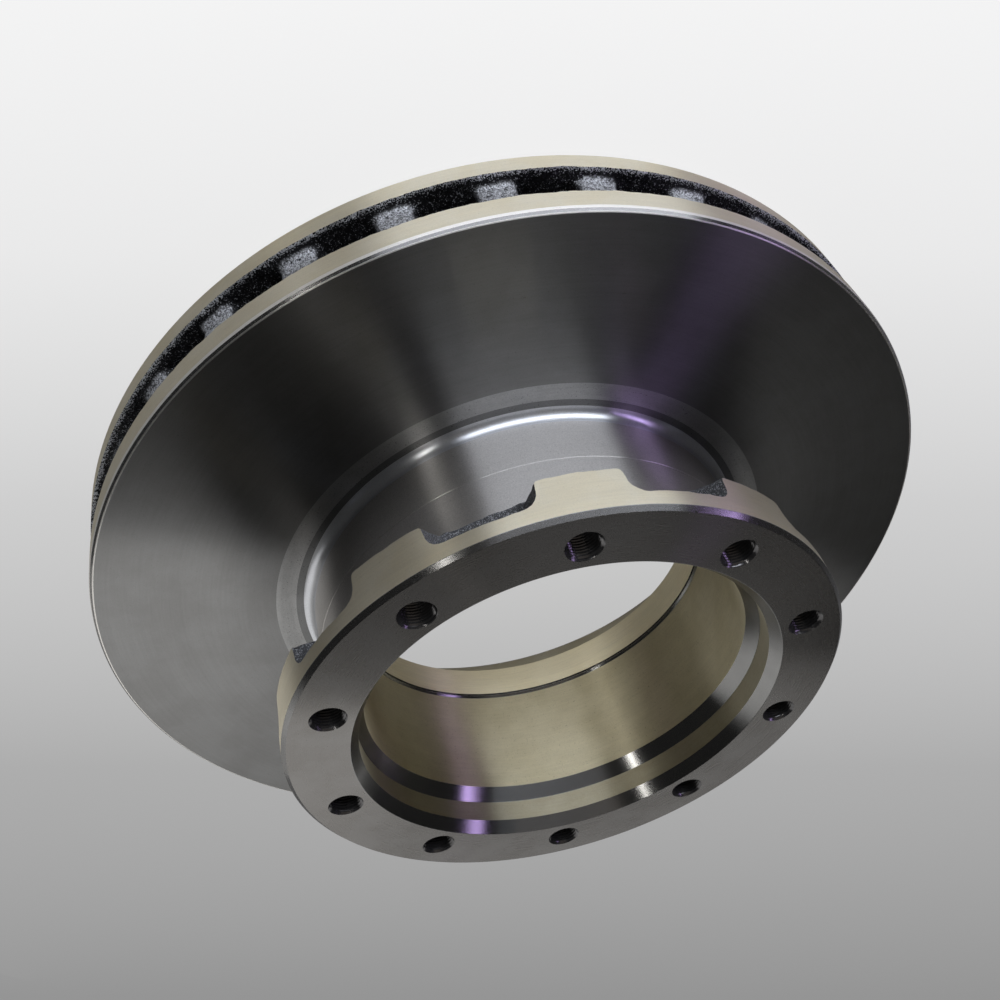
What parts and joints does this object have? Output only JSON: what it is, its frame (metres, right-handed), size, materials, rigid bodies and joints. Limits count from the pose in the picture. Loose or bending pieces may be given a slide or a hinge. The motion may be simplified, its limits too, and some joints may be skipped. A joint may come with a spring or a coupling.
{
  "type": "brake disc",
  "caption": "Ventilated brake disc cast in one piece with a deep neck and a scalloped bolting flange round a pilot bore.",
  "frame": {"origin": "centre of the rear friction face, where the disc stands on a flat surface", "axes": "+Z along the axle from the rear friction face to the bolting flange; +X through the first bolt hole"},
  "size_m": [0.4299, 0.43, 0.132],
  "materials": {
    "iron": "fine turned grey iron, left as cast inside the vents and behind the flange"
  },
  "bodies": {
    "root": {"brake_disc": "iron"}
  },
  "joints": []
}
